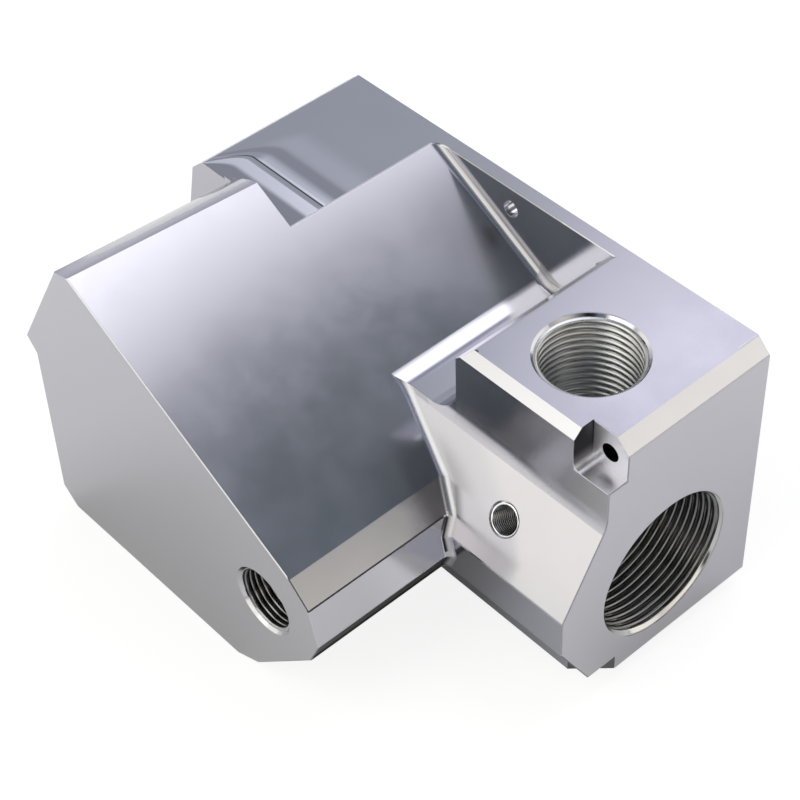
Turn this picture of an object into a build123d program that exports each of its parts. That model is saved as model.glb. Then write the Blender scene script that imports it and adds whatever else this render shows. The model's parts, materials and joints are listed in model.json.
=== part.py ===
from build123d import *
import os
import math

os.makedirs("parts", exist_ok=True)

# Hydraulic manifold block, all lengths in millimetres.
# Origin: centre of the bounding box in plan, at the height of the lowest face.
# +Z is up, -Y is the end with the small port, +X is the face with the large port.

# Whole block
RIGHT_X = 76.1          # face with the large port
LEFT_X = -76.1          # outermost point of the rear bar
FRONT_Y = -55.0         # end face with the small port
FACE_Y = 1.3            # front plane of the rear bar and of the port head
BACK_Y = 55.0           # back face
TOP_Z = 85.4            # top plane shared by the bar and the port head

# Slope and valley
SLOPE_TOP_X = -33.4     # line where the slope leaves the top plane
SLOPE_ANGLE = 29.5      # degrees below the horizontal
VALLEY_Z = 62.0         # floor of the valley
VALLEY_SLOPE_R = 11.4   # radius between slope and floor
VALLEY_WALL_R = 8.0     # radius between floor and head wall
HEAD_WALL_X = 26.0      # wall of the port head that faces the valley
HEAD_WALL_CHAMFER = 4.0
WEB_Y = 50.6            # front of the thin web that closes the valley
WEB_FOOT_R = 2.4        # radius along the foot of the web

# Left body, section across Y
FLANK_ANGLE = 59.5      # degrees above the horizontal, on the outer side of the ridge
FLANK_LOW = (-73.7, 58.3)
SIDE_HIGH = (-70.2, 54.2)
SIDE_LOW = (-70.2, 4.8)
BASE_LEFT = (-64.9, 0.0)
BASE_RIGHT = (4.2, 0.0)
NOSE_LOW = (12.4, 3.6)
NOSE_MID = (34.7, 25.1)
NOSE_OUT = (38.1, 33.0)
STRIP_LOW = (35.5, 44.0)
STRIP_TOP_X = 29.1
STRIP_EDGE_R = 0.6      # radius on the edges of the narrow strips

# Crest between slope and flank: a narrow flat in front, wider and rounded at the rear
CREST_FRONT = [(-48.1, 93.7), (-49.9, 93.3), (-51.8, 92.8), (-53.6, 92.4)]
CREST_REAR = [(-45.5, 92.3), (-50.5, 90.6), (-53.9, 88.6), (-57.9, 85.1)]
CREST_FOOT_R = 2.3      # radius behind the rear end of the crest

# Rear bar, left end
BAR_TOP_X = -68.5
BAR_CHAMFER = (-73.1, 81.4)
BAR_SIDE = (LEFT_X, 67.5)
BAR_BASE_CHAMFER = 5.0

# Port head
HEAD_FRONT_CHAMFER = 2.6
HEAD_SIDE_CHAMFER = 4.1
BEND_Z = 62.8           # where the front face starts to lean outwards
BEND_R = 9.0
FLARE_Y = -12.35        # foremost line of the leaning face
FLARE_Z = 39.05
BELT_Z = 27.6           # lower edge of the upright belt under it
UNDERCUT_Y = -2.4
UNDERSIDE_Z = 10.3
PAD_Z = 5.5
PAD_Y = -1.3
PAD_CORNER_X = 68.1
PAD_CORNER_Y = 7.4
HEAD_BODY_X = 0.0       # where the leaning face ends inside the left body
JUNCTION_R = 2.4        # radius between the left body and the leaning face

# Corner notch with its drilling
NOTCH_X = 64.9
NOTCH_Y = 7.3
NOTCH_Z = 73.7
NOTCH_R = 2.6
NOTCH_HOLE = (70.4, 78.9)
NOTCH_HOLE_R = 2.5
NOTCH_HOLE_DEPTH = 16.0

# Hole through the web
WEB_HOLE = (-5.9, 78.8)
WEB_HOLE_R = 2.55

# Ports: thread radius, mouth radius, wall length, drill radius
END_PORT = (17.8, 32.4)
END_PORT_R = 9.0
END_PORT_MOUTH_R = 9.8
END_PORT_LENGTH = 20.0
END_DRILL_R = 7.0

SIDE_PORT = (23.0, 32.3)
SIDE_PORT_R = 21.0
SIDE_PORT_MOUTH_R = 21.15
SIDE_PORT_LENGTH = 27.0
SIDE_DRILL_R = 14.0
SIDE_DRILL_END_X = 12.0

TOP_PORT = (49.7, 22.2)
TOP_PORT_R = 13.5
TOP_PORT_MOUTH_R = 14.35
TOP_PORT_LENGTH = 28.5
TOP_DRILL_R = 10.5

GAUGE_X = 50.1
GAUGE_Z = 50.1
GAUGE_R = 4.0
GAUGE_MOUTH_R = 4.55
GAUGE_LENGTH = 11.0
GAUGE_DRILL_R = 2.5

DRILL_POINT = math.tan(math.radians(31.0))   # depth of a drill point per radius
EDGE_BREAK = 0.25       # small chamfer on the outer edges


def slope_z(x):
    """Height of the slope at x."""
    return TOP_Z - (x - SLOPE_TOP_X) * math.tan(math.radians(SLOPE_ANGLE))


def valley_start_x():
    """Where slope and valley floor would meet without their radius."""
    return SLOPE_TOP_X + (TOP_Z - VALLEY_Z) / math.tan(math.radians(SLOPE_ANGLE))


def ridge_peak():
    """Point (x, z) where slope and flank would meet above the cut crest."""
    slope = math.tan(math.radians(SLOPE_ANGLE))
    flank = math.tan(math.radians(FLANK_ANGLE))
    rise = TOP_Z + slope * SLOPE_TOP_X - FLANK_LOW[1] + flank * FLANK_LOW[0]
    x = rise / (slope + flank)
    return x, slope_z(x)


def across_y(face, y_from, y_to):
    """Solid from a face drawn in (x, z), between two planes across Y."""
    return Pos(0, y_from, 0) * extrude(face, y_to - y_from, dir=(0, 1, 0))


def across_x(face, x_from, x_to):
    """Solid from a face drawn in (y, z), between two planes across X."""
    return Pos(x_from, 0, 0) * extrude(face, x_to - x_from, dir=(1, 0, 0))


def upward(face, z_from, z_to):
    """Solid from a face drawn in (x, y), between two heights."""
    return Pos(0, 0, z_from) * extrude(face, z_to - z_from, dir=(0, 0, 1))


def xz_face(points):
    """Face in the XZ plane from its corner points."""
    return make_face(Polyline(*[(x, 0, z) for x, z in points], close=True))


def yz_face(points):
    """Face in the YZ plane from its corner points."""
    return make_face(Polyline(*[(0, y, z) for y, z in points], close=True))


def xy_face(points):
    """Face in the XY plane from its corner points."""
    return make_face(Polyline(*[(x, y, 0) for x, y in points], close=True))


def near(shape, x, y, z):
    """Corner of a face that lies nearest to a point."""
    return shape.vertices().sort_by_distance((x, y, z))[0]


def left_body():
    """Many-sided body that runs forward from the bar and carries the long slope."""
    strip_top = (STRIP_TOP_X, slope_z(STRIP_TOP_X))
    outline = [
        ridge_peak(),
        strip_top,
        STRIP_LOW,
        NOSE_OUT,
        NOSE_MID,
        NOSE_LOW,
        BASE_RIGHT,
        BASE_LEFT,
        SIDE_LOW,
        SIDE_HIGH,
        FLANK_LOW,
    ]
    face = xz_face(outline)
    for x, z in (strip_top, STRIP_LOW, NOSE_OUT):
        face = fillet(near(face, x, 0, z), STRIP_EDGE_R)
    return across_y(face, FRONT_Y, FACE_Y) - crest_cut()


def crest_at(y):
    """Crest line of the left body in the section at y, from the slope to the flank."""
    share = (y - FRONT_Y) / (FACE_Y - FRONT_Y)
    line = []
    for front, rear in zip(CREST_FRONT, CREST_REAR):
        line.append((front[0] + share * (rear[0] - front[0]), front[1] + share * (rear[1] - front[1])))
    return line


def crest_section(y):
    """Closed section of the room above the crest at y."""
    line = [(x, y, z) for x, z in crest_at(y)]
    first, last = line[0], line[-1]
    above_last = (last[0] - 6, y, last[2] + 8)
    above_first = (first[0] + 4, y, first[2] + 12)
    curve = Spline(*line)
    closing = Polyline(last, above_last, above_first, first)
    return make_face(curve + closing)


def crest_cut():
    """Room above the crest, lofted from the front section to the rear one."""
    return loft([crest_section(FRONT_Y - 1), crest_section(FACE_Y + 1)], ruled=True)


def crest_foot():
    """Concave radius behind the rear end of the crest, down to the top plane."""
    corner = (FACE_Y, TOP_Z)
    r = CREST_FOOT_R
    arc = ThreePointArc(
        (0, corner[0] + r, corner[1]),
        (0, corner[0] + r * (1 - math.sqrt(0.5)), corner[1] + r * (1 - math.sqrt(0.5))),
        (0, corner[0], corner[1] + r),
    )
    sides = Polyline(
        (0, corner[0], corner[1] + r),
        (0, corner[0] - 1, corner[1] + r),
        (0, corner[0] - 1, corner[1] - 1),
        (0, corner[0] + r, corner[1] - 1),
        (0, corner[0] + r, corner[1]),
    )
    cove = across_x(make_face(arc + sides), CREST_REAR[-1][0], SLOPE_TOP_X)
    under_crest = CREST_REAR + [(SLOPE_TOP_X, TOP_Z), (SLOPE_TOP_X, TOP_Z - 1), (CREST_REAR[-1][0], TOP_Z - 1)]
    return cove & across_y(xz_face(under_crest), FACE_Y - 1, FACE_Y + r)


def body_base():
    """Foot of the left body, carried back under the bar to the back face."""
    outline = [
        (BASE_LEFT[0], 12.0),
        BASE_LEFT,
        BASE_RIGHT,
        NOSE_LOW,
        (NOSE_LOW[0], 12.0),
    ]
    return across_y(xz_face(outline), FACE_Y, BACK_Y)


def rear_bar():
    """Bar along X with the top plane; its left end leans and is chamfered."""
    outline = [
        (BAR_TOP_X, TOP_Z),
        BAR_CHAMFER,
        BAR_SIDE,
        (LEFT_X, PAD_Z + BAR_BASE_CHAMFER),
        (LEFT_X + BAR_BASE_CHAMFER, PAD_Z),
        (RIGHT_X, PAD_Z),
        (RIGHT_X, TOP_Z - HEAD_SIDE_CHAMFER),
        (RIGHT_X - HEAD_SIDE_CHAMFER, TOP_Z),
    ]
    return across_y(xz_face(outline), FACE_Y, BACK_Y)


def head_front():
    """Leaning front of the port head with its belt, undercut and rounded bend."""
    outline = [
        (FACE_Y + 5, TOP_Z - 5),
        (FACE_Y, TOP_Z - 5),
        (FACE_Y, BEND_Z),
        (FLARE_Y, FLARE_Z),
        (FLARE_Y, BELT_Z),
        (UNDERCUT_Y, UNDERSIDE_Z),
        (FACE_Y + 5, UNDERSIDE_Z),
    ]
    face = yz_face(outline)
    face = fillet(near(face, 0, FACE_Y, BEND_Z), BEND_R)
    return across_x(face, HEAD_BODY_X, RIGHT_X)


def pad():
    """Front part of the foot pad under the head, with its corner cut off."""
    outline = [
        (HEAD_BODY_X, PAD_Y),
        (PAD_CORNER_X, PAD_Y),
        (RIGHT_X, PAD_CORNER_Y),
        (RIGHT_X, PAD_CORNER_Y + 5),
        (HEAD_BODY_X, PAD_CORNER_Y + 5),
    ]
    return upward(xy_face(outline), PAD_Z, UNDERSIDE_Z + 2)


def pad_corner_cut():
    """Room outside the cut-off corner of the pad, up to the underside of the head."""
    outline = [
        (PAD_CORNER_X, PAD_Y),
        (RIGHT_X, PAD_CORNER_Y),
        (RIGHT_X + 5, PAD_CORNER_Y),
        (RIGHT_X + 5, PAD_Y - 20),
        (PAD_CORNER_X, PAD_Y - 20),
    ]
    return upward(xy_face(outline), PAD_Z - 5, UNDERSIDE_Z)


def valley():
    """Room above the slope and the valley floor, up to the web."""
    roof = TOP_Z + 30
    outline = [
        (SLOPE_TOP_X, roof),
        (SLOPE_TOP_X, TOP_Z),
        (valley_start_x(), VALLEY_Z),
        (HEAD_WALL_X, VALLEY_Z),
        (HEAD_WALL_X, TOP_Z - HEAD_WALL_CHAMFER),
        (HEAD_WALL_X + HEAD_WALL_CHAMFER, TOP_Z),
        (HEAD_WALL_X + HEAD_WALL_CHAMFER, roof),
    ]
    face = xz_face(outline)
    face = fillet(near(face, HEAD_WALL_X, 0, VALLEY_Z), VALLEY_WALL_R)
    face = fillet(near(face, valley_start_x(), 0, VALLEY_Z), VALLEY_SLOPE_R)
    room = across_y(face, FLARE_Y - 5, WEB_Y)
    end_edges = room.edges().filter_by_position(Axis.Y, WEB_Y - 0.1, WEB_Y + 0.1)
    floor_edge = end_edges.sort_by_distance((15, WEB_Y, VALLEY_Z))[0]
    return fillet(floor_edge, WEB_FOOT_R)


def head_front_chamfer():
    """Room over the chamfer along the head's front top edge."""
    reach = 8.0
    start_y = FACE_Y + HEAD_FRONT_CHAMFER
    outline = [
        (start_y - reach, TOP_Z - reach),
        (start_y + reach, TOP_Z + reach),
        (start_y - reach, TOP_Z + reach),
    ]
    return across_x(yz_face(outline), HEAD_WALL_X - 3, RIGHT_X + 3)


def notch():
    """Pocket milled from the front into the head's top right corner."""
    outline = [
        (NOTCH_X, NOTCH_Z),
        (RIGHT_X + 5, NOTCH_Z),
        (RIGHT_X + 5, TOP_Z + 5),
        (NOTCH_X, TOP_Z + 5),
    ]
    face = xz_face(outline)
    face = fillet(near(face, NOTCH_X, 0, NOTCH_Z), NOTCH_R)
    return across_y(face, FACE_Y - 5, NOTCH_Y)


def drill(radius, length):
    """Drilling along +Z from the origin, with a pointed end."""
    point = Pos(0, 0, length + radius * DRILL_POINT / 2) * Cone(radius, 0, radius * DRILL_POINT)
    return Pos(0, 0, length / 2) * Cylinder(radius, length) + point


def port(mouth_r, wall_r, length, drill_r, depth):
    """Port along +Z from its mouth: countersink, wall, step and pilot drilling."""
    bevel = mouth_r - wall_r
    profile = Polyline(
        (0, 0, -1),
        (mouth_r + 1, 0, -1),
        (wall_r, 0, bevel),
        (wall_r, 0, length),
        (drill_r, 0, length + (wall_r - drill_r) * DRILL_POINT),
        (drill_r, 0, depth),
        (0, 0, depth + drill_r * DRILL_POINT),
        close=True,
    )
    return revolve(make_face(profile), Axis.Z)


def aimed(x, y, z, direction):
    """Placement at a point with local +Z along a direction."""
    return Plane(origin=(x, y, z), z_dir=direction).location


def end_port():
    """Small port in the end face; its drilling runs back to the side port's."""
    depth = SIDE_PORT[0] - FRONT_Y
    cutter = port(END_PORT_MOUTH_R, END_PORT_R, END_PORT_LENGTH, END_DRILL_R, depth)
    return aimed(END_PORT[0], FRONT_Y, END_PORT[1], (0, 1, 0)) * cutter


def side_port():
    """Large port in the right face, with its drilling along the block."""
    depth = RIGHT_X - SIDE_DRILL_END_X
    cutter = port(SIDE_PORT_MOUTH_R, SIDE_PORT_R, SIDE_PORT_LENGTH, SIDE_DRILL_R, depth)
    return aimed(RIGHT_X, SIDE_PORT[0], SIDE_PORT[1], (-1, 0, 0)) * cutter


def top_port():
    """Port in the top of the head, drilled down into the side port's drilling."""
    depth = TOP_Z - SIDE_PORT[1]
    cutter = port(TOP_PORT_MOUTH_R, TOP_PORT_R, TOP_PORT_LENGTH, TOP_DRILL_R, depth)
    return aimed(TOP_PORT[0], TOP_PORT[1], TOP_Z, (0, 0, -1)) * cutter


def gauge_port():
    """Gauge port square to the leaning face, drilled into the side port's drilling."""
    lean = math.atan((FACE_Y - FLARE_Y) / (BEND_Z - FLARE_Z))
    mouth_y = FACE_Y - (BEND_Z - GAUGE_Z) * math.tan(lean)
    cutter = port(GAUGE_MOUTH_R, GAUGE_R, GAUGE_LENGTH, GAUGE_DRILL_R, 24.0)
    inward = (0, math.cos(lean), -math.sin(lean))
    return aimed(GAUGE_X, mouth_y, GAUGE_Z, inward) * cutter


def notch_drilling():
    """Blind drilling in the back wall of the corner notch."""
    cutter = drill(NOTCH_HOLE_R, NOTCH_HOLE_DEPTH)
    return aimed(NOTCH_HOLE[0], NOTCH_Y, NOTCH_HOLE[1], (0, 1, 0)) * cutter


def web_hole():
    """Plain hole through the thin web behind the slope."""
    cutter = Cylinder(WEB_HOLE_R, 20)
    return aimed(WEB_HOLE[0], WEB_Y, WEB_HOLE[1], (0, 1, 0)) * cutter


def is_junction(edge):
    """True for the inner corners between the left body and the front planes beside it."""
    middle = edge.center()
    beside = -20 < middle.X < NOSE_OUT[0]
    in_front = FLARE_Y - 0.1 < middle.Y < FACE_Y + 0.1
    return beside and in_front and UNDERSIDE_Z + 0.1 < middle.Z < TOP_Z - 0.1


def round_junction(solid):
    """The solid with a small radius where the leaning front runs into the left body."""
    joint = [edge for edge in solid.edges() if is_junction(edge)]
    return fillet(joint, JUNCTION_R)


def behind_crest(edge):
    """True for the top edges that the radius behind the crest runs into."""
    middle = edge.center()
    beside = middle.Y < FACE_Y + CREST_FOOT_R + 1 and middle.X < SLOPE_TOP_X + 1
    return beside and middle.Z > TOP_Z - 1


def outer_edges(solid):
    """Edges of the end, back, right and top faces and along the leaning front."""
    faces = solid.faces()
    edges = faces.sort_by(Axis.Y)[0].edges() + faces.sort_by(Axis.Y)[-1].edges()
    edges += faces.sort_by(Axis.X)[-1].edges()
    edges += solid.edges().filter_by_position(Axis.Z, TOP_Z - 0.01, TOP_Z + 0.01)
    edges += solid.edges().filter_by_position(Axis.Y, FLARE_Y - 0.01, FLARE_Y + 0.01)
    chosen = []
    for edge in edges:
        if edge not in chosen and not behind_crest(edge):
            chosen.append(edge)
    return chosen


def block():
    """The whole manifold block."""
    solid = left_body() + rear_bar() + head_front() + body_base()
    solid = round_junction(solid) - valley()
    solid = solid + pad() + crest_foot() - pad_corner_cut()
    solid = solid - head_front_chamfer() - notch()
    solid = chamfer(outer_edges(solid), EDGE_BREAK)
    solid = solid - end_port() - side_port() - top_port() - gauge_port()
    return solid - notch_drilling() - web_hole()


part = block()
export_step(part, "parts/manifold_block.step")
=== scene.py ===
import json
import math

import bpy
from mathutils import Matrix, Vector


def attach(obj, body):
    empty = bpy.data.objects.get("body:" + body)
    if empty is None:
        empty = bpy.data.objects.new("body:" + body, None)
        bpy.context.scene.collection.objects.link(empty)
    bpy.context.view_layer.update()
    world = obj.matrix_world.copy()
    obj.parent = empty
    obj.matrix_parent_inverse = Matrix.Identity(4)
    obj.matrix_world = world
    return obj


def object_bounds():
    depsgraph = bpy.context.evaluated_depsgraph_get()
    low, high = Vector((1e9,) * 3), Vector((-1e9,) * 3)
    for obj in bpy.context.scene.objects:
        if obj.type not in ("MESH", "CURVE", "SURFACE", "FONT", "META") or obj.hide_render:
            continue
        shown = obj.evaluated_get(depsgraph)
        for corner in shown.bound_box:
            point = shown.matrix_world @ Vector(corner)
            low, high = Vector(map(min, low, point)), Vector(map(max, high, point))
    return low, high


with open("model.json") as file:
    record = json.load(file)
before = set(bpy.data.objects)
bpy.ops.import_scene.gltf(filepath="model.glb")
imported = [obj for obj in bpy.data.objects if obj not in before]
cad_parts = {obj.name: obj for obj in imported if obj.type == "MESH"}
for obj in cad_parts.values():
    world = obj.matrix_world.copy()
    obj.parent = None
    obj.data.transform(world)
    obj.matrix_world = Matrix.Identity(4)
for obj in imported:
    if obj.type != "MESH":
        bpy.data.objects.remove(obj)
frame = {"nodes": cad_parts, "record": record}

CAD_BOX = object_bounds()
BLOCK = frame["nodes"]["manifold_block"]
MOUNTS = {mount["name"]: mount for mount in frame["record"]["mounts"]}
MM = 0.001


def mount_place(name):
    """Place of a mount, in millimetres."""
    return [value / MM for value in MOUNTS[name]["pos_m"]]


# Places on the block, in millimetres

RIGHT_X = CAD_BOX[1].x / MM     # face with the side port
FRONT_Y = CAD_BOX[0].y / MM     # end face of the left body
TOP_Z = 85.4                    # top plane of the bar and the head
RIDGE_X = -33.5                 # thin line where the slope leaves the top plane
VALLEY_Z = 62.0                 # floor of the valley
STRIP_Z = 43.95                 # line between the two narrow strips on the left body
BELT_Z = 27.6                   # lower edge of the upright belt
LEFT_BODY_Y = -13.0             # only the left body reaches further forward
UNDERSIDE_Z = 10.3              # underside of the head beside the pad's cut-off corner
NOTCH = (64.7, 7.45, 73.5)      # just beyond the left, back and lower wall of the corner notch
GAUGE_MOUTH = (50.1, -6.0, 50.1)
GAUGE_RIM_R = 4.4               # middle of the countersink round the gauge port
TOP_DRILL_R = 10.5
GAUGE_DRILL_R = 2.5
_, SIDE_Y, SIDE_Z = mount_place("port_side")
TOP_X, TOP_Y, _ = mount_place("port_top")
END_X, _, END_Z = mount_place("port_end")

# Plain faces, by the way they face, and how far two of them lie from the origin

LEAN = tuple(MOUNTS["gauge_port"]["axis"])  # the head's leaning front
SLOPE = (0.492, 0, 0.870)
SLOPE_DISTANCE = 57.8
UPPER_STRIP = (0.686, 0, 0.727)
UPPER_STRIP_DISTANCE = 56.34
LOWER_STRIP = (0.973, 0, 0.230)


# Shader nodes

OPEN = None                     # the end of a range that has no limit
FULLY_FACING = 0.999            # cosine from which a surface faces a direction squarely
GRAIN_STRENGTH = 0.03
GRAIN_DEPTH = 0.02
NOISE_LOW = 0.3                 # range that most of a noise pattern lies in
NOISE_HIGH = 0.7


class Nodes:
    """Small helper that adds and links shader nodes."""

    def __init__(self, tree):
        self.tree = tree
        tree.nodes.clear()

    def add(self, kind, inputs=None, **settings):
        """New node of a kind, with its settings and the values or links of its inputs."""
        node = self.tree.nodes.new(kind)
        for name, value in settings.items():
            setattr(node, name, value)
        for name, value in (inputs or {}).items():
            self.put(node.inputs[name], value)
        return node

    def put(self, socket, value):
        """Links a socket to another node's output, or sets it to a plain value."""
        if isinstance(value, bpy.types.NodeSocket):
            self.tree.links.new(value, socket)
        else:
            socket.default_value = value

    def math(self, operation, *values):
        """Result of an operation on numbers."""
        node = self.add("ShaderNodeMath", operation=operation)
        for socket, value in zip(node.inputs, values):
            self.put(socket, value)
        return node.outputs[0]

    def vector(self, operation, *values):
        """Result of an operation on vectors: a vector, or a number where the operation gives one."""
        node = self.add("ShaderNodeVectorMath", operation=operation)
        for socket, value in zip(node.inputs, values):
            self.put(socket, value)
        output = "Value" if operation in ("DOT_PRODUCT", "LENGTH", "DISTANCE") else "Vector"
        return node.outputs[output]

    def parts(self, vector):
        """X, Y and Z of a vector."""
        return list(self.add("ShaderNodeSeparateXYZ", {"Vector": vector}).outputs)

    def inside(self, value, low=OPEN, high=OPEN):
        """1 where a value lies between two limits, of which one may be left open."""
        tests = []
        if low is not OPEN:
            tests.append(self.math("GREATER_THAN", value, low))
        if high is not OPEN:
            tests.append(self.math("LESS_THAN", value, high))
        return self.product(*tests)

    def near(self, value, middle, reach):
        """1 where a value is no further from a middle value than its reach."""
        return self.math("COMPARE", value, middle, reach)

    def product(self, first, *others):
        """Product of values; of masks, the place where all of them hold."""
        for value in others:
            first = self.math("MULTIPLY", first, value)
        return first

    def weighted(self, start, *terms):
        """A value plus each mask times its amount."""
        for mask, amount in terms:
            start = self.math("MULTIPLY_ADD", mask, amount, start)
        return start

    def smooth(self, value, start, end, at_start=0.0, at_end=1.0):
        """Smooth step of a value from what it gives at a start to what it gives at an end."""
        inputs = {"Value": value, "From Min": start, "From Max": end, "To Min": at_start, "To Max": at_end}
        node = self.add("ShaderNodeMapRange", inputs, interpolation_type="SMOOTHSTEP")
        return node.outputs["Result"]

    def between(self, value, low, full, fading, gone):
        """1 between two values, fading smoothly to 0 on both sides."""
        return self.product(self.smooth(value, low, full), self.smooth(value, gone, fading))

    def mix(self, factor, first, second):
        """Colour between two colours."""
        node = self.add("ShaderNodeMix", data_type="RGBA")
        self.put(node.inputs["Factor"], factor)
        self.put(node.inputs["A"], first)
        self.put(node.inputs["B"], second)
        return node.outputs["Result"]

    def noise(self, scale, detail, roughness):
        """Cloudy pattern on the object, with its scale per metre."""
        place = self.add("ShaderNodeTexCoord").outputs["Object"]
        inputs = {"Vector": place, "Scale": scale, "Detail": detail, "Roughness": roughness}
        return self.add("ShaderNodeTexNoise", inputs).outputs["Fac"]

    def cloudy(self, noise, at_low, at_high):
        """Value that follows a noise from one value to another."""
        return self.smooth(noise, NOISE_LOW, NOISE_HIGH, at_low, at_high)

    def show(self, kind, shader):
        """Makes a shader the output of a material or a world."""
        self.add(kind, {"Surface": shader.outputs[0]})

    def show_metal(self, tint, rough, grain, normal=None, glancing=(1, 1, 1, 1)):
        """Makes metal with a fine grain the output; glancing is its tint at grazing angles."""
        bump = {"Strength": GRAIN_STRENGTH, "Distance": GRAIN_DEPTH * MM, "Height": grain}
        if normal is not None:
            bump["Normal"] = normal
        grained = self.add("ShaderNodeBump", bump).outputs[0]
        metal = {"Base Color": tint, "Metallic": 1.0, "Roughness": rough, "Specular Tint": glancing}
        metal["Normal"] = grained
        self.show("ShaderNodeOutputMaterial", self.add("ShaderNodeBsdfPrincipled", metal))


class Surface(Nodes):
    """Nodes of the block's material, with the shaded point in millimetres and the way its surface faces."""

    def __init__(self, tree):
        super().__init__(tree)
        place = self.add("ShaderNodeTexCoord").outputs["Object"]
        self.point = self.vector("MULTIPLY", place, (1 / MM, 1 / MM, 1 / MM))
        self.at = dict(zip("xyz", self.parts(self.point)))
        self.facing = self.add("ShaderNodeNewGeometry").outputs["Normal"]
        self.turn = dict(zip("xyz", self.parts(self.facing)))

    def within(self, **ranges):
        """1 where the point lies within a range along each axis that is named."""
        return self.product(*[self.inside(self.at[axis], *limits) for axis, limits in ranges.items()])

    def rising(self, **spans):
        """Product of smooth steps from 0 to 1 between two places along each axis that is named."""
        return self.product(*[self.smooth(self.at[axis], *ends) for axis, ends in spans.items()])

    def turned(self, **ranges):
        """1 where each named part of the way the surface faces lies within a range."""
        return self.product(*[self.inside(self.turn[axis], *limits) for axis, limits in ranges.items()])

    def turning(self, **spans):
        """Product of smooth steps from 0 to 1 as each named part goes from one value to another."""
        return self.product(*[self.smooth(self.turn[axis], *ends) for axis, ends in spans.items()])

    def cosine(self, direction):
        """Cosine of the angle between the way the surface faces and a direction."""
        return self.vector("DOT_PRODUCT", self.facing, direction)

    def faces(self, direction, none_at=0.995):
        """1 where the surface faces a direction squarely, falling to 0 at a smaller cosine."""
        return self.smooth(self.cosine(direction), none_at, FULLY_FACING)

    def above(self, normal, distance):
        """Height of the point above a plane that runs along Y, from its normal and its distance."""
        return self.weighted(-distance, (self.at["z"], normal[2]), (self.at["x"], normal[0]))


def new_material(name, kind=Nodes):
    """A new material and its nodes."""
    material = bpy.data.materials.new(name)
    material.use_nodes = True
    return material, kind(material.node_tree)


def grey(level):
    """Opaque grey of a level from 0 to 1."""
    return (level, level, level, 1)


# Studio light, as a soft world

ROOM_TONE = (0.146, 0.163, 0.165, 1)
WALL_TONE = (1.56, 1.52, 1.39, 1)
WALL_FULL_BELOW = 27.6          # elevation up to which the low wall is bright
WALL_GONE_ABOVE = 32.6
GAP_TONE = (0.06, 0.06, 0.07, 1)
GAP_FULL_WITHIN = 8             # elevation, above or below the horizon
GAP_GONE_BEYOND = 12
GAP_PLACE = (-12, 0, 41, 48)    # azimuth, elevation, inner angle and outer angle

SOFT_LIGHTS = [
    # azimuth, elevation, inner angle, outer angle, colour
    (73, 63, 26, 42, (0.35, 0.38, 0.50)),       # dim panel, high at the back
    (92, 66, 14.4, 20, (2.22, 2.22, 2.34)),     # bright lamp in it
    (130, 41, 3, 10, (1.61, 1.60, 1.81)),       # small lamp at the back left
    (155, 0, 21, 51, (0.80, 0.81, 0.89)),       # cool wall on the left
    (47, 53, 6, 13, (0.14, 0.17, 0.19)),        # dark patch, high at the back right
    (-104, 50, 22, 26, (2.28, 2.30, 2.18)),     # large soft box, high at the front
    (-110, 28, 8, 21, (1.98, 1.98, 1.80)),      # soft box below it
    (-70, 28, 8, 16, (1.85, 1.85, 1.65)),       # warm soft box at the front
    (-52, 45, 13, 22, (0.20, 0.25, 0.29)),      # dark room round the camera
    (-41, 45, 6, 12, (0.01, 0.01, 0.01)),       # black patch where the camera stands
    (138, 23, 10, 24, (0.57, 0.58, 0.62)),      # grey patch at the back left
    (74, 46, 1, 9, (0.79, 0.83, 1.01)),         # small bluish light at the back
    (2, 13, 12, 40, (1.60, 1.52, 1.32)),        # warm wall on the right
    (4, 4, 9, 19, (0.09, 0.10, 0.09)),          # dark opening in it
    (147, 38, 3, 15, (0.51, 0.55, 0.62)),       # grey patch above the cool wall
]


def direction(azimuth, elevation):
    """Unit vector towards an azimuth from +X and an elevation, in degrees."""
    a, e = math.radians(azimuth), math.radians(elevation)
    return (math.cos(a) * math.cos(e), math.sin(a) * math.cos(e), math.sin(e))


def lobe(nodes, view, azimuth, elevation, inner, outer):
    """1 within the inner angle of a direction, falling smoothly to 0 at the outer one."""
    nearness = nodes.vector("DOT_PRODUCT", view, direction(azimuth, elevation))
    return nodes.smooth(nearness, math.cos(math.radians(outer)), math.cos(math.radians(inner)))


def below(nodes, height, full, gone):
    """1 below one elevation, in degrees, falling smoothly to 0 at a higher one."""
    return nodes.smooth(height, math.sin(math.radians(gone)), math.sin(math.radians(full)))


def studio_world():
    """Dim cool room with a bright warm wall low down, soft lights and a dark gap at the front right."""
    world = bpy.data.worlds.new("studio")
    bpy.context.scene.world = world
    world.use_nodes = True
    nodes = Nodes(world.node_tree)
    view = nodes.add("ShaderNodeTexCoord").outputs["Generated"]
    height = nodes.parts(view)[2]
    tone = nodes.mix(below(nodes, height, WALL_FULL_BELOW, WALL_GONE_ABOVE), ROOM_TONE, WALL_TONE)
    for azimuth, elevation, inner, outer, colour in SOFT_LIGHTS:
        tone = nodes.mix(lobe(nodes, view, azimuth, elevation, inner, outer), tone, (*colour, 1))
    off_horizon = nodes.math("ABSOLUTE", height)
    near_horizon = below(nodes, off_horizon, GAP_FULL_WITHIN, GAP_GONE_BEYOND)
    gap = nodes.product(near_horizon, lobe(nodes, view, *GAP_PLACE))
    tone = nodes.mix(gap, tone, GAP_TONE)
    nodes.show("ShaderNodeOutputWorld", nodes.add("ShaderNodeBackground", {"Color": tone, "Strength": 1.0}))


# Floor

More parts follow.
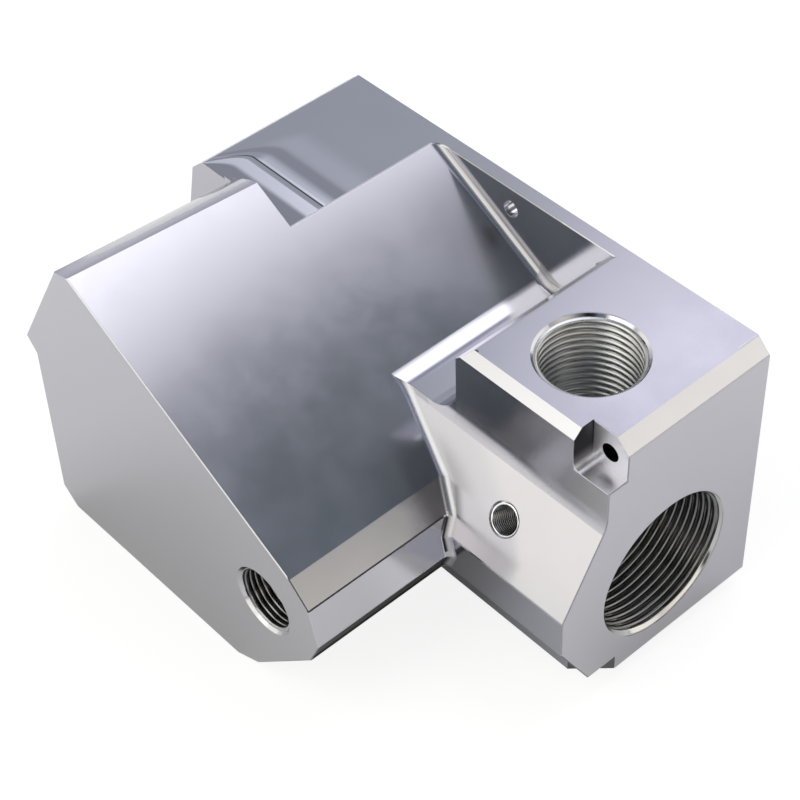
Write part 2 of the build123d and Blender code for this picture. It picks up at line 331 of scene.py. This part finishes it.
FLOOR_HALF = 6.0                # metres from the middle to a side
# The mirrored floor has painted shade that only reflections show: a painted shadow near the middle and dark
# paint far to the right.
PALE_FROM = 0.12                # distance from the middle where the mirrored floor starts to be lighter
PALE_TO = 0.22
DARK_FROM = 0.20                # X where the mirrored floor starts to be dark
DARK_TO = 0.26
NEAR_SHADE_PAINT = (0.92, 0.92, 0.93, 1)
FAR_RIGHT_SHADE_PAINT = 0.04
MIRRORED_GLOW = 0.06
CAMERA_PAINT = 0.22             # what the camera sees: weak paint for the shadow, and a strong glow
CAMERA_GLOW = 0.86
PLAIN_PAINT = 0.8               # what soft light meets


def painted(nodes, colour, glow):
    """Matt paint that also glows with a strength of its own."""
    paint = nodes.add("ShaderNodeBsdfDiffuse", {"Color": colour})
    light = nodes.add("ShaderNodeEmission", {"Color": grey(1), "Strength": glow})
    return nodes.add("ShaderNodeAddShader", {0: paint.outputs[0], 1: light.outputs[0]})


def mirrored_floor(nodes):
    """The floor in reflections: a little darker near the middle as a painted shadow, painted dark far to
    the right.
    """
    place = nodes.add("ShaderNodeTexCoord").outputs["Object"]
    away = nodes.smooth(nodes.vector("LENGTH", place), PALE_FROM, PALE_TO)
    far_right = nodes.smooth(nodes.parts(place)[0], DARK_FROM, DARK_TO)
    paint = nodes.mix(away, NEAR_SHADE_PAINT, grey(1))
    paint = nodes.mix(far_right, paint, grey(FAR_RIGHT_SHADE_PAINT))
    return painted(nodes, paint, MIRRORED_GLOW)


def floor_material():
    """Pale floor that keeps the object's shadow, with painted shade of its own in reflections."""
    material, nodes = new_material("pale_floor")
    path = nodes.add("ShaderNodeLightPath").outputs
    mirrored = nodes.math("MAXIMUM", path["Is Glossy Ray"], path["Is Transmission Ray"])
    seen = nodes.math("MAXIMUM", path["Is Camera Ray"], mirrored)
    direct = painted(nodes, grey(CAMERA_PAINT), CAMERA_GLOW)
    shown = {0: mirrored, 1: direct.outputs[0], 2: mirrored_floor(nodes).outputs[0]}
    plain = nodes.add("ShaderNodeBsdfDiffuse", {"Color": grey(PLAIN_PAINT)})
    pick = {0: seen, 1: plain.outputs[0], 2: nodes.add("ShaderNodeMixShader", shown).outputs[0]}
    nodes.show("ShaderNodeOutputMaterial", nodes.add("ShaderNodeMixShader", pick))
    return material


def floor():
    """Wide square floor under the object."""
    far = FLOOR_HALF
    corners = [(-far, -far, 0), (far, -far, 0), (far, far, 0), (-far, far, 0)]
    mesh = bpy.data.meshes.new("floor")
    mesh.from_pydata(corners, [], [(0, 1, 2, 3)])
    mesh.materials.append(floor_material())
    plane = bpy.data.objects.new("floor", mesh)
    bpy.context.scene.collection.objects.link(plane)


# Camera

CAMERA_PLACE = (0.28946, -0.24226, 0.42860)
CAMERA_TURN = (44.848, 1.631, 47.737)   # degrees about X, Y and Z
CAMERA_LENS = 96.03
SENSOR_WIDTH = 36.0
NEAREST = 0.01                  # metres from the camera where its view starts


def camera():
    """Camera at the photograph's angle."""
    data = bpy.data.cameras.new("camera")
    data.lens = CAMERA_LENS
    data.sensor_width = SENSOR_WIDTH
    data.clip_start = NEAREST
    holder = bpy.data.objects.new("camera", data)
    holder.location = CAMERA_PLACE
    holder.rotation_euler = [math.radians(angle) for angle in CAMERA_TURN]
    bpy.context.scene.collection.objects.link(holder)
    bpy.context.scene.camera = holder


# Waves on the left end of the top plane, with painted highlight and painted shade

# They fan out from the plane's left corner. They tip the shading normal, and their lighter and darker bands
# are painted highlight and painted shade. Each is given by its distances from that corner: where it begins,
# where it is full, where it starts to fade and where it ends.
INNER_FAN = (-69.0, -60.8)      # X where the waves run along Y and where they run along X
OUTER_FAN = (-71.0, -57.5)
FAN_START = 0.02                # smallest turn of a wave, in radians
LINE = 12.4                     # distance of the thin line that parts inner and outer waves
FIRST_WAVE = (5.6, 7.6, 10.3, 10.9)
# The thin line and the band beyond the second wave are only painted shade; the waves and the rim also get
# painted highlight.
PAINTED_DARK_LINE = (11.9, 12.1, 12.3, 12.5)
RIM = (12.2, 12.5, 13.0, 13.6)
SECOND_WAVE = (12.2, 12.7, 13.8, 16.8)
SHADED_BAND = (15.4, 17.0, 19.0, 20.6)
THIRD_WAVE = (19.0, 22.0, 23.5, 31.0)
SECOND_WAVE_X = (-61.0, -58.0)  # X where the wave begins to show and where it shows fully
THIRD_WAVE_X = (-65.0, -58.0)
CORNER_SHADE = (7.0, 5.8)       # distances where the dark corner begins and where it is full


def fan(s, along_y, along_x):
    """Distance from the corner of the wave through a point."""
    ends = {"From Min": along_y, "From Max": along_x, "To Min": FAN_START, "To Max": math.pi / 2}
    turn = s.add("ShaderNodeMapRange", {"Value": s.at["x"], **ends}).outputs["Result"]
    return s.math("DIVIDE", s.at["y"], s.math("SINE", turn))


def ripples(s):
    """Painted highlight and painted shade of the shallow waves on the top plane: how much lighter and
    darker they are.
    """
    inner = fan(s, *INNER_FAN)
    outer = fan(s, *OUTER_FAN)
    past_line = s.inside(inner, low=LINE)
    second = s.product(s.between(outer, *SECOND_WAVE), s.rising(x=SECOND_WAVE_X))
    third = s.product(s.between(outer, *THIRD_WAVE), s.rising(x=THIRD_WAVE_X))
    rim = s.between(outer, *RIM)
    beyond = s.weighted(0.0, (second, 0.62), (third, 0.25), (rim, 0.3))
    light = s.weighted(s.between(inner, *FIRST_WAVE), (beyond, past_line))

    by_corner = s.product(s.smooth(inner, *CORNER_SHADE), s.inside(inner, high=LINE))
    shaded_band = s.product(s.between(outer, *SHADED_BAND), past_line)
    shade = s.weighted(0.0, (by_corner, 0.22), (s.between(inner, *PAINTED_DARK_LINE), 0.9), (shaded_band, 0.19))

    on_top = s.product(s.within(x=(OPEN, RIDGE_X + 0.5), z=(TOP_Z - 0.05, OPEN)), s.turned(z=(0.99, OPEN)))
    return s.product(light, on_top), s.product(shade, on_top)


# Places on the block that are duller or carry painted shade or painted highlight, each as a mask from 0 to
# 1


def notch_walls(s):
    """1 on the walls of the corner notch."""
    left, back, low = NOTCH
    return s.within(x=(left, OPEN), y=(OPEN, back), z=(low, OPEN))


def junction(s):
    """1 on the rounded corner between the left body and the leaning front, up to just above the slope."""
    least_cosine_on_lean = 0.998
    height_over_slope = 4.0
    place = s.within(x=(5.0, 39.0), y=(-15.0, OPEN), z=(BELT_Z + 0.4, OPEN))
    off_lean = s.inside(s.cosine(LEAN), high=least_cosine_on_lean)
    low = s.inside(s.above(SLOPE, SLOPE_DISTANCE), high=height_over_slope)
    return s.product(place, off_lean, low, s.turned(y=(OPEN, -0.3)))


def junction_depth(s, corner):
    """1 in the middle height of the rounded corner, where it turns away from the leaning front."""
    middle_z = 46.0
    reach = 11.5
    turned_away = s.smooth(s.cosine(LEAN), 0.72, 0.5)
    return s.product(corner, s.near(s.at["z"], middle_z, reach), turned_away)


def slope(s):
    """1 on the long slope."""
    return s.faces(SLOPE, none_at=0.994)


def web_foot(s):
    """How near a place on the slope is to the foot of the web."""
    return s.product(slope(s), s.rising(x=(-32.0, -8.0), y=(18.0, 47.0)))


def slope_corner(s):
    """How near a place on the slope is to the leaning front, below the valley's floor."""
    return s.product(slope(s), s.rising(x=(12.0, 24.0), y=(-36.0, -15.0)), s.within(z=(OPEN, VALLEY_Z)))


def web_fillet(s):
    """1 on the rounded foot of the web."""
    return s.product(s.turned(y=(-0.97, -0.15), z=(0.2, OPEN)), s.within(x=(OPEN, 12.0), y=(40.0, OPEN)))


def head_front(s):
    """1 on the upright front of the head and the upper part of its bend."""
    place = s.within(x=(26.0, OPEN), y=(OPEN, 5.0), z=(56.0, OPEN))
    return s.product(place, s.turned(y=(OPEN, -0.88)))


def upright_front(s, front):
    """How far left a place is on the upright part of the head's front."""
    return s.product(front, s.turning(y=(-0.97, -0.995)), s.rising(x=(62.0, 48.0)))


def strip_end(s):
    """How near a place on the upper strip is to the leaning front."""
    return s.product(s.faces(UPPER_STRIP), s.rising(y=(-19.0, -13.5)), s.within(z=(OPEN, VALLEY_Z)))


def lower_strip_end(s):
    """How near a place on the lower strip is to the leaning front."""
    return s.product(s.faces(LOWER_STRIP), s.rising(y=(-42.0, -20.0)), s.rising(y=(-12.0, -12.5)))


def belt(s):
    """1 on the upright band below the leaning front."""
    return s.product(s.within(y=(-20.0, OPEN), z=(OPEN, 45.0)), s.turned(y=(OPEN, -0.99)))


def strip_lines(s):
    """1 on the thin lines between the two narrow strips and at their front end."""
    half_width = 0.22
    under_strip = -0.25
    on_nose = s.within(x=(35.0, OPEN), y=(OPEN, -12.0))
    between_strips = s.product(on_nose, s.near(s.at["z"], STRIP_Z, half_width))
    on_strip = s.inside(s.above(UPPER_STRIP, UPPER_STRIP_DISTANCE), low=under_strip)
    front_end = s.product(s.within(y=(OPEN, FRONT_Y + 0.25), z=(44.0, 55.5)), on_strip)
    return s.math("MAXIMUM", between_strips, front_end)


def ridge_line(s):
    """1 on the thin line along the top of the slope."""
    half_width = 0.6
    edge_break = s.product(s.turned(z=(0.88, 0.99)), s.within(z=(TOP_Z - 0.5, OPEN)))
    return s.product(edge_break, s.near(s.at["x"], RIDGE_X, half_width))


def underside_shade(s):
    """Painted shade on the narrow faces turned to the floor; on the left body it changes with the height.
    """
    depth = 0.72
    more_below = 0.14
    more_above = -0.1
    left_body = s.within(y=(OPEN, LEFT_BODY_Y))
    by_height = s.smooth(s.at["z"], BELT_Z, BELT_Z + 0.6, more_below, more_above)
    return s.product(s.turning(z=(-0.2, -0.38)), s.weighted(depth, (left_body, by_height)))


def notch_wall_shade(s, notch):
    """Painted shade on the left wall of the corner notch, less of it low down."""
    shade_low_down = 0.4
    shade_above = 0.93
    by_height = s.smooth(s.at["z"], 74.5, 79.0, shade_low_down, shade_above)
    return s.product(notch, s.within(x=(OPEN, NOTCH[0] + 0.4)), by_height)


def pad_corner(s):
    """1 on the cut at the lower right corner."""
    return s.product(s.within(z=(OPEN, UNDERSIDE_Z + 0.2)), s.turned(x=(0.5, OPEN), y=(OPEN, -0.5)))


class FinishAndShade:
    """The masks that more than one property of the metal follows: its roughness and its painted shade or
    highlight.
    """

    def __init__(self, s):
        self.notch = notch_walls(s)
        self.corner = junction(s)
        self.foot = web_foot(s)
        self.fillet = web_fillet(s)
        self.front = head_front(s)


# Metal of the block

# Colours of painted highlight and of painted shade on the belt; the two plain tints follow a random cloud.
HIGHLIGHT_TINT = (0.93, 0.92, 0.97, 1)
BELT_SHADE_TINT = (0.376, 0.378, 0.43, 1)
PLAIN_TINTS = ((0.515, 0.508, 0.545, 1), (0.53, 0.522, 0.56, 1))
RIPPLE_TIP = 0.078              # how far the waves tip the surface towards +X
EDGE_RADIUS = 0.12              # millimetres
RIM_HALF_WIDTH = 0.2            # of the countersink round the gauge port


def fine_grain(nodes):
    """Fine grain of cut or ground metal."""
    return nodes.noise(scale=2600.0, detail=2.0, roughness=0.5)


def block_roughness(s, finish_and_shade, cloud, grain):
    """Roughness of the block: faintly uneven, with duller places."""
    rough = s.math("ADD", s.cloudy(cloud, 0.13, 0.17), s.cloudy(grain, -0.01, 0.01))
    return s.weighted(
        rough,
        (finish_and_shade.notch, 0.2),
        (finish_and_shade.foot, 0.09),
        (finish_and_shade.fillet, 0.07),
        (finish_and_shade.corner, 0.16),
        (finish_and_shade.front, 0.10),
    )


def block_painted_shade(s, finish_and_shade, ripple_shade):
    """How much darker the block is painted than its plain tint: painted shade in its corners, along thin
    lines and below.
    """
    return s.weighted(
        ripple_shade,
        # Painted shade on the notch's wall, the faces turned to the floor, the pad's cut, thin edge lines,
        # the head's front, the rounded corner, the web's foot and the slope near the leaning front.
        (notch_wall_shade(s, finish_and_shade.notch), 1.0),
        (underside_shade(s), 1.0),
        (pad_corner(s), 0.75),
        (strip_lines(s), 0.88),
        (ridge_line(s), 0.5),
        (upright_front(s, finish_and_shade.front), 0.25),
        (junction_depth(s, finish_and_shade.corner), 0.8),
        (strip_end(s), 0.45),
        (finish_and_shade.corner, 0.15),
        (finish_and_shade.foot, 0.4),
        (slope_corner(s), 0.22),
        (finish_and_shade.fillet, 0.22),
    )


def block_tint(s, finish_and_shade, cloud, ripple_light, shade):
    """Colour of the block: painted shade on the belt and where shade falls, painted highlight on the waves,
    the notch's back wall and the lower strip's end.
    """
    # Painted highlight on the notch's back wall and the lower strip's end.
    notch_back = s.product(finish_and_shade.notch, s.turning(y=(-0.7, -0.9)))
    light = s.math("MAXIMUM", ripple_light, notch_back)
    light = s.math("MAXIMUM", light, s.product(lower_strip_end(s), 0.35))
    tint = s.mix(cloud, *PLAIN_TINTS)
    tint = s.mix(belt(s), tint, BELT_SHADE_TINT)
    tint = s.mix(light, tint, HIGHLIGHT_TINT)
    return s.mix(shade, tint, grey(0))


def block_normal(s, ripple_light):
    """The way the block is shaded: edges rounded, apart from sharp ones, and waves on the top plane."""
    edge = s.add("ShaderNodeBevel", {"Radius": EDGE_RADIUS * MM}, samples=6).outputs[0]
    head_top = s.within(x=(31.0, OPEN), y=(OPEN, 48.0), z=(TOP_Z - 0.2, OPEN))
    edge = s.mix(head_top, edge, (0, 0, 1, 1))
    edge = s.mix(s.within(x=(RIGHT_X - 0.25, OPEN)), edge, (1, 0, 0, 1))
    gauge_rim = s.near(s.vector("DISTANCE", s.point, GAUGE_MOUTH), GAUGE_RIM_R, RIM_HALF_WIDTH)
    edge = s.mix(gauge_rim, edge, (*LEAN, 1))
    tip = s.add("ShaderNodeCombineXYZ", {"X": s.product(ripple_light, RIPPLE_TIP)}).outputs[0]
    return s.vector("NORMALIZE", s.vector("ADD", edge, tip))


def machined_metal():
    """Polished metal with a faint grain, slightly rounded edges, duller places, and painted shade and
    highlight.
    """
    material, s = new_material("machined_metal", Surface)
    cloud = s.noise(scale=45.0, detail=4.0, roughness=0.6)
    grain = fine_grain(s)
    finish_and_shade = FinishAndShade(s)
    ripple_light, ripple_shade = ripples(s)
    rough = block_roughness(s, finish_and_shade, cloud, grain)
    shade = block_painted_shade(s, finish_and_shade, ripple_shade)
    tint = block_tint(s, finish_and_shade, cloud, ripple_light, shade)
    # The painted shade on the left body also darkens its reflections at grazing angles.
    left_body_shade = s.product(shade, s.within(y=(OPEN, LEFT_BODY_Y)))
    glancing = s.mix(left_body_shade, grey(1), grey(0))
    s.show_metal(tint, rough, grain, normal=block_normal(s, ripple_light), glancing=glancing)
    return material


# Threads, in millimetres

THREAD_HEIGHT = 0.5413          # height of a metric thread per pitch
CREST_FLATNESS = 2.5            # 1 is a sharp crest
RINGS_PER_TURN = 12
ROOT_GAP = 0.02                 # room between the thread's root and the port's wall
SLEEVE_WALL = 0.25              # how deep the sleeve's outer side lies in the metal
MOUTH_GAP = 0.02                # room between the sleeve and the countersink
END_GAP = 0.04                  # room between the sleeve and the end of the port's wall
ON_CONE = 2.0                   # what the crest attribute says on the cone at the mouth
OFF_CONE = 1.3                  # above what it says on the turns
# Painted shade in the grooves of the threads.
GROOVE_SHADE = 0.02
CONE_TINT = 0.52
CONE_ROUGHNESS = -0.08          # added to the turns' roughness
WINDOW_GAP = 0.1                # room round a drilling that opens into a port


class Port:
    """A threaded port, its place and size in millimetres, and the sleeve that shows its thread.

    The crests of the first turn are cut back by a cone that narrows by `cut` for each step inwards.
    `windows` are tests of a point that say where another drilling opens into the port.
    """

    def __init__(self, name, mount, mouth, mouth_radius, pitch, depth, cut, windows=()):
        self.name = name
        self.radius = MOUNTS[mount]["dims"]["r_mm"]
        self.mouth = Vector(mouth)
        self.inward = -Vector(MOUNTS[mount]["axis"]).normalized()
        self.side = self.inward.orthogonal().normalized()
        self.other = self.inward.cross(self.side)
        self.start = mouth_radius - self.radius
        self.pitch = pitch
        self.depth = depth
        self.cut = cut
        self.windows = windows

    def point(self, depth, angle, radius):
        """Point at a depth below the mouth, an angle round the axis and a distance from it."""
        spoke = self.side * math.cos(angle) + self.other * math.sin(angle)
        return self.mouth + self.inward * depth + spoke * radius

    def thread(self, depth, angle):
        """Radius of the threaded surface at a place, and its height there as a share of the thread's."""
        turn = (depth / self.pitch - angle / (2 * math.pi)) % 1.0
        off_crest = abs(turn - 0.5) * 2
        full_height = THREAD_HEIGHT * self.pitch
        height = full_height * (1.0 - off_crest ** CREST_FLATNESS)
        root = self.radius - ROOT_GAP
        cone = root - self.cut * max(0.0, depth - self.start)
        if cone > root - height:
            return cone, ON_CONE
        return root - height, height / full_height

    def opens(self, point):
        """True where another drilling opens into the port."""
        return any(inside(point) for inside in self.windows)


def sleeve_faces(rings, segments, kept):
    """Faces of a closed sleeve with a threaded layer and a plain one behind it.

    `kept` says whether the stretch between a ring and the next is there at a step round the axis.
    """
    layer = (rings + 1) * segments
    faces = []
    for ring in range(rings):
        for step in range(segments):
            if not kept(ring, step):
                continue
            following = (step + 1) % segments
            a = ring * segments + step
            b = ring * segments + following
            c = (ring + 1) * segments + following
            d = (ring + 1) * segments + step
            faces.append((d, c, b, a))
            faces.append((a + layer, b + layer, c + layer, d + layer))
            before_and_after = [(ring - 1, step, b, a), (ring + 1, step, d, c)]
            left_and_right = [(ring, step - 1, a, d), (ring, step + 1, c, b)]
            for next_ring, next_step, first, second in before_and_after + left_and_right:
                if not kept(next_ring, next_step):
                    faces.append((first + layer, second + layer, second, first))
    return faces


def thread_mesh(port, segments):
    """Mesh of the sleeve in a port, with the height of the thread at each point as its crest attribute."""
    rings = int((port.depth - port.start) / port.pitch * RINGS_PER_TURN)
    first = port.start + MOUTH_GAP
    length = port.depth - END_GAP - first
    depths = [first + length * ring / rings for ring in range(rings + 1)]
    angles = [2 * math.pi * step / segments for step in range(segments)]
    places = [(depth, angle) for depth in depths for angle in angles]
    turns = [port.thread(depth, angle) for depth, angle in places]
    threaded = [port.point(depth, angle, radius) for (depth, angle), (radius, _) in zip(places, turns)]
    plain = [port.point(depth, angle, port.radius + SLEEVE_WALL) for depth, angle in places]

    def kept(ring, step):
        if not 0 <= ring < rings:
            return False
        return not port.opens(plain[ring * segments + step % segments])

    mesh = bpy.data.meshes.new(port.name)
    mesh.from_pydata([point * MM for point in threaded + plain], [], sleeve_faces(rings, segments, kept))
    crest = mesh.attributes.new("crest", "FLOAT", "POINT")
    crest.data.foreach_set("value", [height for _, height in turns] + [ON_CONE] * len(plain))
    mesh.validate()
    mesh.polygons.foreach_set("use_smooth", [True] * len(mesh.polygons))
    return mesh


def thread_metal(name, bright, groove, crest, dull):
    """Cut metal of a thread, with the brightness of its crests and its least roughness.

    The brightness is set for each port as painted shade inside it. The grooves are painted dark as shade up
    to the share `groove` of the thread's height, and the metal is bright from the share `crest`.
    """
    material, nodes = new_material(name)
    cloud = nodes.noise(scale=300.0, detail=4.0, roughness=0.6)
    height = nodes.add("ShaderNodeAttribute", attribute_name="crest").outputs["Fac"]
    cone = nodes.inside(height, low=OFF_CONE)
    rough = nodes.weighted(nodes.cloudy(cloud, dull, dull + 0.04), (cone, CONE_ROUGHNESS))
    crest_tone = nodes.cloudy(cloud, 0.95 * bright, 1.05 * bright)
    crest_tone = nodes.math("MAXIMUM", crest_tone, nodes.product(cone, CONE_TINT))
    # The grooves are painted nearly black as shade.
    tint = nodes.mix(nodes.smooth(height, groove, crest), grey(GROOVE_SHADE), crest_tone)
    nodes.show_metal(tint, rough, fine_grain(nodes))
    return material


def thread_liner(port, segments, **finish_and_shade):
    """Closed sleeve that lines the port, with thread turns inside and its outer side in the metal."""
    mesh = thread_mesh(port, segments)
    mesh.materials.append(thread_metal(port.name + "_metal", **finish_and_shade))
    liner = bpy.data.objects.new(port.name, mesh)
    bpy.context.scene.collection.objects.link(liner)
    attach(liner, "root")


def in_top_drilling(point):
    """True in the top port's drilling, above the side port's axis."""
    off_axis = math.hypot(point.x - TOP_X, point.y - TOP_Y)
    return off_axis < TOP_DRILL_R + WINDOW_GAP and point.z > SIDE_Z


def in_gauge_drilling(point):
    """True in the gauge port's drilling."""
    along = Vector(LEAN)
    away = point - Vector(GAUGE_MOUTH)
    return (away - along * away.dot(along)).length < GAUGE_DRILL_R + WINDOW_GAP


def threads():
    """The thread turns of the four ports."""
    side = Port(
        "thread_side", "port_side", mouth=(RIGHT_X, SIDE_Y, SIDE_Z), mouth_radius=21.15,
        pitch=2.0, depth=27.0, cut=0.9, windows=(in_top_drilling, in_gauge_drilling),
    )
    top = Port(
        "thread_top", "port_top", mouth=(TOP_X, TOP_Y, TOP_Z), mouth_radius=14.35,
        pitch=2.0, depth=28.5, cut=3.0,
    )
    end = Port(
        "thread_end", "port_end", mouth=(END_X, FRONT_Y, END_Z), mouth_radius=9.8,
        pitch=1.5, depth=20.0, cut=3.5,
    )
    gauge = Port(
        "thread_gauge", "gauge_port", mouth=GAUGE_MOUTH, mouth_radius=4.08,
        pitch=0.75, depth=11.0, cut=30.0,
    )
    # Each port's metal is painted darker or lighter as shade inside that port.
    thread_liner(side, 160, bright=0.20, groove=0.05, crest=0.35, dull=0.22)
    thread_liner(top, 128, bright=0.52, groove=0.10, crest=0.38, dull=0.34)
    thread_liner(end, 96, bright=0.26, groove=0.45, crest=0.95, dull=0.22)
    thread_liner(gauge, 64, bright=0.80, groove=0.70, crest=0.95, dull=0.22)


# Scene

BLOCK.data.materials.clear()
BLOCK.data.materials.append(machined_metal())
threads()
studio_world()
floor()
camera()
bpy.context.scene.view_settings.view_transform = "Standard"
bpy.context.scene.cycles.caustics_reflective = False
